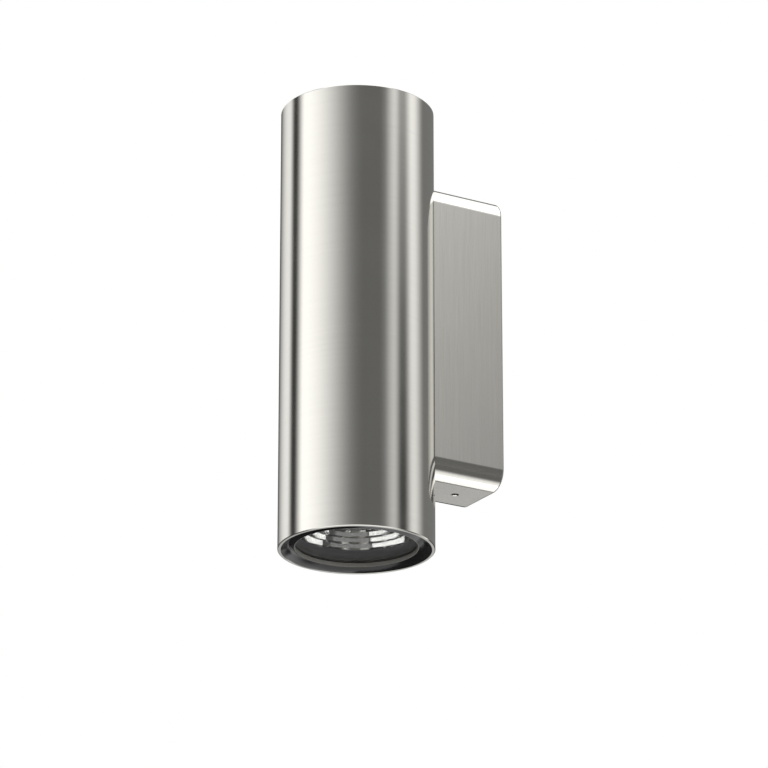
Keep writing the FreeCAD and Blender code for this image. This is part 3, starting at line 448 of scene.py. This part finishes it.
def satin_reflector(finish):
    """Anodised aluminium, turned: fine lines round each step."""
    made = Finish("satin_reflector", Metallic=1.0)
    tree = made.tree
    lines = noise(tree, stretched(tree, made.place, (40, 40, 3000)), 1.0, 2.0)
    made.feed("Base Color", blend_colours(tree, lines, tinted(finish.aluminium, 0.94),
                                          tinted(finish.aluminium, 1.05)))
    made.feed("Roughness", remap(tree, lines, 0.3, 0.7, 0.05, 0.09))
    made.relief(lines, 0.000001)
    return made.material


def raw_aluminium(finish):
    """Pressed aluminium as it comes from the tool, slightly dull."""
    made = Finish("raw_aluminium", Metallic=1.0)
    tree = made.tree
    flow = noise(tree, stretched(tree, made.place, (300, 300, 60)), 1.0, 4.0)
    marks = apply_group(tree, "Handling marks", {"Vector": made.place, "Size": 70.0})["Mask"]
    made.feed("Base Color", blend_colours(tree, flow, (0.62, 0.63, 0.64), (0.78, 0.79, 0.8)))
    made.feed("Roughness", maths(tree, "MULTIPLY_ADD", marks, 0.1, remap(tree, flow, 0.3, 0.7, 0.3, 0.42)))
    made.relief(flow, 0.00002)
    return made.material


def board_white(finish):
    """White solder mask with the copper under it just showing as shallow fields."""
    made = Finish("board_white")
    tree = made.tree
    fields = put(tree, "ShaderNodeTexVoronoi", {"Vector": made.place, "Scale": 260.0},
                 distance="CHEBYCHEV").outputs["Distance"]
    edges = remap(tree, fields, 0.3, 0.36)
    made.feed("Base Color", blend_colours(tree, edges, (0.84, 0.84, 0.82), (0.9, 0.9, 0.88)))
    made.feed("Roughness", remap(tree, edges, 0.0, 1.0, 0.3, 0.42))
    made.relief(edges, 0.00003)
    return made.material


def phosphor(finish):
    """The LED's phosphor: warm yellow grains in clear silicone."""
    made = Finish("phosphor", Coat_Roughness=0.15, Coat_Weight=0.5)
    tree = made.tree
    grains = noise(tree, made.place, 6000.0, 2.0)
    made.feed("Base Color", blend_colours(tree, grains, (0.34, 0.3, 0.2), (0.42, 0.38, 0.27)))
    made.feed("Roughness", remap(tree, grains, 0.3, 0.7, 0.35, 0.55))
    made.relief(grains, 0.00001)
    return made.material


FINISHES = {maker.__name__: maker for maker in (
    brushed_tube, brushed_box, zinc_steel, steel_screws, lock_steel, brass, black_rubber, seal_grey,
    block_white, black_ring, clear_glass, black_baffle, satin_reflector, raw_aluminium, board_white,
    phosphor, holder_white, driver_white)}
# The box's seal and the glass seals are grey silicone, though their slot is the rubber of the bushes.
OWN_FINISH = {
    "rear_gasket": "seal_grey", "lower_glass_gasket": "seal_grey", "upper_glass_gasket": "seal_grey"}


def finish_of(slot, settings):
    """The material for a slot, made once."""
    return bpy.data.materials.get(f"finish {slot}") or named(FINISHES[slot](settings), f"finish {slot}")


def named(thing, name):
    thing.name = name
    return thing


# ---- new pieces ----

def keep(mesh, name, body, slot, settings, finish=None):
    """Turn a finished mesh into a piece that rides on a body, in its slot's finish or its own."""
    bmesh.ops.recalc_face_normals(mesh, faces=mesh.faces)
    data = bpy.data.meshes.new(name)
    mesh.to_mesh(data)
    mesh.free()
    data.materials.append(finish_of(finish or slot, settings))
    data.shade_smooth()
    data.set_sharp_from_angle(angle=SHARP)
    piece = bpy.data.objects.new(name, data)
    bpy.context.scene.collection.objects.link(piece)
    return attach(piece, body)


def keep_aside(shape):
    """A working shape that is thrown away after use; shape is a function that fills a mesh."""
    mesh = bmesh.new()
    shape(mesh)
    data = bpy.data.meshes.new("working shape")
    mesh.to_mesh(data)
    mesh.free()
    aside = bpy.data.objects.new("working shape", data)
    bpy.context.scene.collection.objects.link(aside)
    return aside


def turn_profile(mesh, points, segments, rounding=0.0, middle=AXIS):
    """Turn a closed profile of (radius, height) points full round an upright axis."""
    bmesh.ops.contextual_create(mesh, geom=[
        mesh.verts.new((middle.x + radius, middle.y, height)) for radius, height in points])
    if rounding:
        bmesh.ops.bevel(mesh, geom=mesh.verts[:], offset=rounding, affect="VERTICES", segments=2,
                        profile=0.5, material=-1)
    bmesh.ops.delete(mesh, geom=mesh.faces[:], context="FACES_ONLY")
    bmesh.ops.spin(mesh, geom=mesh.verts[:] + mesh.edges[:], cent=middle, axis=(0, 0, 1),
                   angle=math.tau, steps=segments, use_merge=True)


def wind_profile(mesh, points, turns, pitch, segments, middle=AXIS):
    """Wind a closed profile up a helix round an upright axis, and close its two ends."""
    made = [mesh.verts.new((middle.x + radius, middle.y, height)) for radius, height in points]
    face = bmesh.ops.contextual_create(mesh, geom=made)["faces"]
    edges = list(face[0].edges)
    bmesh.ops.delete(mesh, geom=face, context="FACES_ONLY")
    steps = int(turns * segments)
    bmesh.ops.spin(mesh, geom=made + edges, cent=middle, axis=(0, 0, 1), angle=turns * math.tau,
                   dvec=(0, 0, pitch / segments), steps=steps)
    bmesh.ops.holes_fill(mesh, edges=[e for e in mesh.edges if e.is_boundary])


def bar(mesh, centre, radius, length, along="Z", foot=None, segments=48):
    """A round bar with its middle at a point, along Y or Z; with a foot radius it's a cone."""
    turns = {"Y": Matrix.Rotation(math.pi / 2, 4, "X"), "Z": Matrix.Identity(4)}
    bmesh.ops.create_cone(mesh, cap_ends=True, segments=segments, radius1=radius if foot is None else foot,
                          radius2=radius, depth=length, matrix=Matrix.Translation(centre) @ turns[along])


def rounded_prism(mesh, low, high, corner, segments):
    """A block whose four long edges, along Y, are rounded."""
    middle, size = (low + high) / 2, high - low
    made = bmesh.ops.create_cube(mesh, size=1, matrix=Matrix.Translation(middle) @ Matrix.Diagonal(
        (*size, 1)))["verts"]
    long_edges = {edge for vert in made for edge in vert.link_edges
                  if abs(edge.verts[0].co.y - edge.verts[1].co.y) > size.y / 2}
    bmesh.ops.bevel(mesh, geom=list(long_edges), offset=corner, affect="EDGES", segments=segments,
                    profile=0.5, material=-1)


def combine(piece, operation, shape):
    """Cut a shape out of a piece, or join it on; shape is a function that fills a mesh."""
    tool = keep_aside(shape)
    step = piece.modifiers.new("step", "BOOLEAN")
    step.operation, step.solver, step.object = operation, "EXACT", tool
    made = bpy.data.meshes.new_from_object(piece.evaluated_get(bpy.context.evaluated_depsgraph_get()))
    piece.modifiers.clear()
    piece.data = made
    bpy.data.objects.remove(tool)


def settle_shading(piece):
    """Smooth curves beside flat faces: sharp edges stay, and flat faces keep their own direction."""
    piece.data.shade_smooth()
    piece.data.set_sharp_from_angle(angle=SHARP)
    weighted = piece.modifiers.new("even shading", "WEIGHTED_NORMAL")
    weighted.keep_sharp = True
    weighted.weight = 100


def to_end(mesh, end):
    """Leave a lower piece where it is, or turn it over into the upper mouth."""
    if end == "upper":
        bmesh.ops.rotate(mesh, verts=mesh.verts, cent=AXIS, matrix=Matrix.Rotation(math.pi, 3, "Y"))


# ---- operators ----

class WALLLIGHT_OT_finish_parts(bpy.types.Operator):
    """Give every part of the frame its finish"""
    bl_idname = "wall_light.finish_parts"
    bl_label = "Finish the parts"

    def execute(self, context):
        for part in frame["record"]["subparts"]:
            node = part["node"]
            slot = OWN_FINISH.get(node, part["material_slot"])
            frame["nodes"][node].data.materials[0] = finish_of(slot, context.scene.wall_light_finish)
        return {"FINISHED"}


class WALLLIGHT_OT_add_tube(bpy.types.Operator):
    """Turn the tube, with its broken rims and the holes behind the bracket box"""
    bl_idname = "wall_light.add_tube"
    bl_label = "Add the tube"

    def execute(self, context):
        tube = context.scene.wall_light_tube
        radius = (TUBE_HIGH.x - TUBE_LOW.x) / 2
        low, high = TUBE_LOW.z, TUBE_HIGH.z
        bore, edge, inner = radius - tube.wall, tube.edge, tube.inner_edge
        mesh = bmesh.new()
        turn_profile(mesh, [
            (radius - edge, low), (radius, low + edge), (radius, high - edge), (radius - edge, high),
            (bore + inner, high), (bore, high - inner), (bore, low + inner), (bore + inner, low),
        ], tube.segments)
        piece = keep(mesh, "turned_tube", "housing", "brushed_tube", context.scene.wall_light_finish)
        back = AXIS + Vector((0, radius - tube.wall / 2, 0))
        screws = [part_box("saddle_screws")[0].z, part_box("saddle_screws")[1].z]
        head = (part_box("saddle_screws")[1].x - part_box("saddle_screws")[0].x) / 2
        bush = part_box("wire_grommet")
        holes = ((screws[0] + head, tube.screw_hole), (screws[1] - head, tube.screw_hole),
                 ((bush[0].z + bush[1].z) / 2, tube.wire_hole))

        def drills(mesh):
            for height, size in holes:
                bar(mesh, back + Vector((0, 0, height)), size / 2, 4 * tube.wall, "Y")

        combine(piece, "DIFFERENCE", drills)
        settle_shading(piece)
        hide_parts("tube")
        return {"FINISHED"}


class WALLLIGHT_OT_add_box(bpy.types.Operator):
    """Form the bracket box: rounded, hollow, coped to the tube, with the lock screw's boss"""
    bl_idname = "wall_light.add_box"
    bl_label = "Add the bracket box"

    def execute(self, context):
        box = context.scene.wall_light_box
        low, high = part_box("wall_box")
        radius = (TUBE_HIGH.x - TUBE_LOW.x) / 2 + box.tube_gap
        tall = 1.1 * (high.z - low.z)
        wall = Vector((box.wall, 0, box.wall))
        start = Vector((low.x, AXIS.y, low.z))

        mesh = bmesh.new()
        rounded_prism(mesh, start, high, box.corner, box.corner_steps)
        piece = keep(mesh, "bracket_shell", "housing", "brushed_box", context.scene.wall_light_finish)
        combine(piece, "DIFFERENCE", lambda mesh: bar(mesh, AXIS, radius, tall, segments=box.cope_steps))
        hollow = keep_aside(lambda mesh: rounded_prism(
            mesh, start + wall, high - wall + Vector((0, box.wall, 0)), box.corner - box.wall,
            box.corner_steps))
        combine(hollow, "DIFFERENCE", lambda mesh: bar(
            mesh, AXIS, radius + box.wall, tall, segments=box.cope_steps))
        combine(piece, "DIFFERENCE", lambda mesh: mesh.from_mesh(hollow.data))
        bpy.data.objects.remove(hollow)

        lock = sum(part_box("lock_screw"), Vector()) / 2
        foot = Vector((lock.x, lock.y, low.z))
        combine(piece, "UNION", lambda mesh: bar(
            mesh, foot + Vector((0, 0, box.wall / 2 + box.boss_height / 2)), box.boss / 2,
            box.boss_height + box.wall))
        combine(piece, "DIFFERENCE", lambda mesh: bar(
            mesh, foot, box.lock_bore / 2, 4 * (box.wall + box.boss_height)))
        combine(piece, "DIFFERENCE", lambda mesh: bar(
            mesh, foot, box.lock_bore / 2, 2 * box.lock_sink, foot=box.lock_bore / 2 + 2 * box.lock_sink))
        settle_shading(piece)
        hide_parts("wall_box")
        return {"FINISHED"}


class WALLLIGHT_OT_add_rings(bpy.types.Operator):
    """Turn the black ring of each mouth, with its dished face, lip and thread"""
    bl_idname = "wall_light.add_rings"
    bl_label = "Add the light rings"

    def execute(self, context):
        ring = context.scene.wall_light_ring
        finish = context.scene.wall_light_finish
        low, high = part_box("lower_bezel")
        flange = (high.x - low.x) / 2
        top = high.z - low.z
        core = ring.neck - ring.thread_depth
        opening = ring.opening / 2
        seat = ring.dish + ring.lip
        bore = ring.neck - ring.neck_wall
        for end in ENDS:
            mesh = bmesh.new()
            turn_profile(mesh, [(radius, low.z + depth) for radius, depth in (
                (flange, 0), (flange, ring.flange), (core, ring.flange), (core, top), (bore, top),
                (bore, seat), (opening, seat), (opening, ring.dish),
            )], ring.segments, ring.edge)
            half = ring.thread_depth / 2
            start = low.z + ring.flange + ring.pitch / 2
            turns = (top - ring.flange - ring.pitch * 1.5) / ring.pitch
            wind_profile(mesh, [
                (core - half, start - ring.pitch * THREAD_FOOT),
                (ring.neck, start - ring.pitch * THREAD_CREST),
                (ring.neck, start + ring.pitch * THREAD_CREST),
                (core - half, start + ring.pitch * THREAD_FOOT),
            ], turns, ring.pitch, ring.segments // 2)
            to_end(mesh, end)
            piece = keep(mesh, f"{end}_threaded_ring", f"{end}_ring", "black_ring", finish)
            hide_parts(f"{end}_bezel")
        return {"FINISHED"}


class WALLLIGHT_OT_add_seal_lips(bpy.types.Operator):
    """Turn the lip of the glass seal that lines each ring's opening"""
    bl_idname = "wall_light.add_seal_lips"
    bl_label = "Add the seal lips"

    def execute(self, context):
        ring = context.scene.wall_light_ring
        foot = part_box("lower_bezel")[0].z + ring.dish
        outside = ring.opening / 2 - CLEAR
        for end in ENDS:
            mesh = bmesh.new()
            turn_profile(mesh, [
                (outside, foot + ring.edge), (outside, foot + ring.lip),
                (outside - ring.seal_lip, foot + ring.lip), (outside - ring.seal_lip, foot + ring.edge),
            ], ring.segments, ring.seal_lip / 4)
            to_end(mesh, end)
            keep(mesh, f"{end}_seal_lip", f"{end}_ring", "black_rubber",
                 context.scene.wall_light_finish, "seal_grey")
        return {"FINISHED"}


class WALLLIGHT_OT_add_baffles(bpy.types.Operator):
    """Turn the dark sleeve between each glass and reflector, with its flange"""
    bl_idname = "wall_light.add_baffles"
    bl_label = "Add the baffles"

    def execute(self, context):
        baffle = context.scene.wall_light_baffle
        low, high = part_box("lower_baffle")
        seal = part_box("lower_glass_gasket")
        flange = (high.x - low.x) / 2
        bore = baffle.bore / 2
        outside = bore + baffle.wall
        nose = bore + baffle.nose_wall
        for end in ENDS:
            mesh = bmesh.new()
            turn_profile(mesh, [
                (bore, seal[0].z + CLEAR), (nose, seal[0].z + CLEAR), (nose, low.z), (outside, low.z),
                (outside, high.z - baffle.flange), (flange, high.z - baffle.flange), (flange, high.z),
                (bore, high.z),
            ], baffle.segments, baffle.nose_wall / 5)
            to_end(mesh, end)
            piece = keep(mesh, f"{end}_dark_sleeve", "housing", "black_baffle",
                         context.scene.wall_light_finish)
            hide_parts(f"{end}_baffle")
        return {"FINISHED"}


class WALLLIGHT_OT_set_stage(bpy.types.Operator):
    """Lay the pale floor and light the studio"""
    bl_idname = "wall_light.set_stage"
    bl_label = "Set the stage"

    def execute(self, context):
        studio = context.scene.wall_light_studio
        context.scene.view_settings.view_transform = "Standard"
        lay_floor(studio)
        light_studio(context.scene, studio)
        return {"FINISHED"}


class WALLLIGHT_OT_place_camera(bpy.types.Operator):
    """Stand the camera where the light is seen from below and to one side"""
    bl_idname = "wall_light.place_camera"
    bl_label = "Place the camera"

    def execute(self, context):
        studio = context.scene.wall_light_studio
        camera = bpy.data.objects.new("camera", bpy.data.cameras.new("camera"))
        context.scene.collection.objects.link(camera)
        camera.location = studio.camera
        camera.rotation_euler = (math.pi / 2 + studio.pitch, 0, studio.bearing)
        camera.data.angle = studio.view_angle
        context.scene.camera = camera
        return {"FINISHED"}


# ---- studio ----

# What the metal mirrors, as soft boxes round the light. Bearings are in degrees from the camera,
# growing towards the right of the picture, and heights in degrees above the horizon. Each box has
# the bearings where it begins, is full, is still full and ends, the same four for its height, and
# its level.
SOFT_BOXES = {
    "ceiling, front": ((-200, -190, 148, 160), (29, 33, 95, 100), 1.4),
    "ceiling, rear": ((142, 154, 340, 350), (52, 56, 95, 100), 1.4),
    "floor, front": ((-200, -190, 150, 165), (-100, -95, -60, -44), 1.2),
    "floor, rear": ((110, 140, 174, 177), (-100, -95, -26, -21), 1.4),
    "main box, fading away": ((-104, -85, -86, 16), (-2, 2, 95, 100), 1.37),
    "grey wall": ((-16, 18, 36, 44), (-2, 2, 95, 100), 0.1),
    "grey corner": ((38, 52, 90, 110), (-50, -44, 12, 16), 0.1),
    "first strip": ((34, 56, 57, 70), (12, 16.5, 95, 100), 0.57),
    "second strip": ((74.5, 91.5, 95, 119), (12, 16.5, 95, 100), 0.85),
    "glow over the strips": ((44, 66, 78, 116), (18, 32, 95, 100), 0.85),
    "grey behind": ((100, 118, 172, 182), (12, 16.5, 95, 100), 0.16),
    "side box": ((188, 236, 238, 252), (-2, 2, 95, 100), 1.0),
    "low box, left": ((-104, -101, -31, -28), (-34, -31, -4, -2), 3.2),
    "low box, right": ((67, 69, 128, 131), (-25, -23, -6, -4), 3.2),
    "low grey, front": ((-28, -26, 46, 54), (-34, -31, -4, -2), 0.6),
    "low grey, behind": ((150, 160, 180.5, 185), (-24, -21, -12, -8), 0.52),
}
# The level between the boxes, and the most that boxes add up to.
DARK = 0.05
BRIGHTEST = 3.4
# How much of the studio a coated pane of glass shows on its own face.
COATED_GLASS = 0.15
# How much of the low boxes is left for what doesn't come out of a mouth through its glass.
PAST_THE_MOUTH = 0.22
# How much more of the ambient light comes from the right than from all round.
SIDE_LIGHT = 0.9
# The bearing where the compass begins; no box crosses it.
SEAM = -108.0


def lay_floor(studio):
    """A round pale floor that only catches the object's shadow."""
    mesh = bmesh.new()
    bmesh.ops.create_circle(mesh, cap_ends=True, radius=studio.floor_size, segments=96,
                            matrix=Matrix.Translation((0, 0, -studio.floor_depth)))
    data = bpy.data.meshes.new("floor")
    mesh.to_mesh(data)
    mesh.free()
    made = Finish("studio floor", Roughness=0.9)
    speckle = noise(made.tree, made.place, 30.0, 3.0)
    made.feed("Base Color", blend_colours(made.tree, speckle, (0.86, 0.86, 0.85), (0.88, 0.88, 0.87)))
    data.materials.append(made.material)
    floor = bpy.data.objects.new("floor", data)
    bpy.context.scene.collection.objects.link(floor)
    floor.visible_glossy = False
    floor.visible_transmission = False


def soft_box_group():
    """How much of a soft box is seen at a bearing and a height."""
    edges = [("Left", "Float", 0.0), ("Left full", "Float", 0.0), ("Right full", "Float", 0.0),
             ("Right", "Float", 0.0), ("Low", "Float", 0.0), ("Low full", "Float", 0.0),
             ("High full", "Float", 0.0), ("High", "Float", 0.0), ("Level", "Float", 1.0)]
    tree, given, wanted = new_group(
        "Soft box", [("Bearing", "Float", 0.0), ("Elevation", "Float", 0.0), *edges], [("Light", "Float")])
    share = given["Level"]
    for value, start, end in (("Bearing", "Left", "Left full"), ("Bearing", "Right", "Right full"),
                              ("Elevation", "Low", "Low full"), ("Elevation", "High", "High full")):
        inside = remap(tree, given[value], given[start], given[end], smooth=True)
        share = maths(tree, "MULTIPLY", share, inside)
    tree.links.new(share, wanted["Light"])
    return tree


def light_studio(scene, studio):
    """White for the eye, plain for matt surfaces, soft boxes for what metal and glass mirror."""
    world = bpy.data.worlds.new("studio")
    scene.world = world
    world.use_nodes = True
    tree = world.node_tree
    tree.nodes.clear()
    way = put(tree, "ShaderNodeTexCoord").outputs["Generated"]
    # Turned so that the seam of the bearing lies where no box crosses it.
    facing = studio.bearing - math.pi / 2
    turned = put(tree, "ShaderNodeVectorRotate", {
        "Vector": way, "Angle": -(facing + math.radians(SEAM) + math.pi)}, rotation_type="Z_AXIS")
    parts = put(tree, "ShaderNodeSeparateXYZ", {"Vector": turned.outputs["Vector"]}).outputs
    angle = maths(tree, "DEGREES", maths(tree, "ARCTAN2", parts["Y"], parts["X"]))
    bearing = maths(tree, "ADD", angle, SEAM + 180.0)
    height = maths(tree, "DEGREES", maths(tree, "ARCSINE", parts["Z"]))
    path = put(tree, "ShaderNodeLightPath").outputs
    passed = path["Transmission Depth"]
    from_mouth = maths(tree, "GREATER_THAN", passed, 3.5)
    group = soft_box_group()
    light = DARK
    for name, (sides, heights, level) in SOFT_BOXES.items():
        box = put(tree, "ShaderNodeGroup", node_tree=group, label=name)
        tree.links.new(bearing, box.inputs["Bearing"])
        tree.links.new(height, box.inputs["Elevation"])
        for socket, value in zip(list(box.inputs)[2:], (*sides, *heights, level)):
            socket.default_value = value
        joined = "MAXIMUM" if name.startswith("ceiling") else "ADD"
        level = box.outputs["Light"]
        if name.startswith("low box"):
            level = maths(tree, "MULTIPLY", level, remap(tree, from_mouth, 0.0, 1.0, PAST_THE_MOUTH, 1.0))
        light = maths(tree, joined, light, level)
    light = maths(tree, "MINIMUM", light, BRIGHTEST)
    on_glass = maths(tree, "MULTIPLY", path["Is Singular Ray"], path["Is Reflection Ray"])
    # Light that turned back inside the pane has passed into glass and out of it once.
    in_glass = maths(tree, "MULTIPLY", maths(tree, "GREATER_THAN", passed, 0.5),
                     maths(tree, "LESS_THAN", passed, 3.5))
    light = maths(tree, "MULTIPLY", light, remap(
        tree, maths(tree, "MAXIMUM", on_glass, in_glass), 0.0, 1.0, 1.0, COATED_GLASS))
    ambient = maths(tree, "MULTIPLY_ADD", parts["X"], SIDE_LIGHT * studio.daylight, studio.daylight)
    for_eye = put(tree, "ShaderNodeMix", {
        "Factor": maths(tree, "MINIMUM", path["Diffuse Depth"], 1.0), "A": light, "B": ambient})
    strength = put(tree, "ShaderNodeMix", {
        "Factor": path["Is Camera Ray"], "A": for_eye.outputs["Result"], "B": 1.0})
    background = put(tree, "ShaderNodeBackground", {
        "Color": (1, 1, 1, 1), "Strength": strength.outputs["Result"]})
    put(tree, "ShaderNodeOutputWorld", {"Surface": background.outputs["Background"]})


# ---- panel and registration ----

class WALLLIGHT_PT_panel(bpy.types.Panel):
    """Lists what makes the wall light"""
    bl_label = "Wall light"
    bl_idname = "WALLLIGHT_PT_panel"
    bl_space_type = "VIEW_3D"
    bl_region_type = "UI"
    bl_category = "Wall light"

    def draw(self, context):
        for group in GROUPS:
            settings = getattr(context.scene, group)
            for name in settings.__annotations__:
                self.layout.prop(settings, name)
        for operator in OPERATORS:
            self.layout.operator(operator.bl_idname)


GROUPS = {"wall_light_finish": WallLightFinish, "wall_light_tube": WallLightTube,
          "wall_light_box": WallLightBox, "wall_light_ring": WallLightRing,
          "wall_light_baffle": WallLightBaffle,
          "wall_light_studio": WallLightStudio}
OPERATORS = (WALLLIGHT_OT_finish_parts, WALLLIGHT_OT_add_tube, WALLLIGHT_OT_add_box,
             WALLLIGHT_OT_add_rings, WALLLIGHT_OT_add_seal_lips, WALLLIGHT_OT_add_baffles,
             WALLLIGHT_OT_set_stage, WALLLIGHT_OT_place_camera)
CLASSES = (*GROUPS.values(), *OPERATORS, WALLLIGHT_PT_panel)


def register():
    for made in CLASSES:
        bpy.utils.register_class(made)
    for name, group in GROUPS.items():
        setattr(bpy.types.Scene, name, PointerProperty(type=group))


def unregister():
    for name in GROUPS:
        delattr(bpy.types.Scene, name)
    for made in reversed(CLASSES):
        bpy.utils.unregister_class(made)


def main():
    register()
    bpy.ops.wall_light.finish_parts()
    bpy.ops.wall_light.add_tube()
    bpy.ops.wall_light.add_box()
    bpy.ops.wall_light.add_rings()
    bpy.ops.wall_light.add_seal_lips()
    bpy.ops.wall_light.add_baffles()
    bpy.ops.wall_light.set_stage()
    bpy.ops.wall_light.place_camera()


if __name__ == "__main__":
    main()
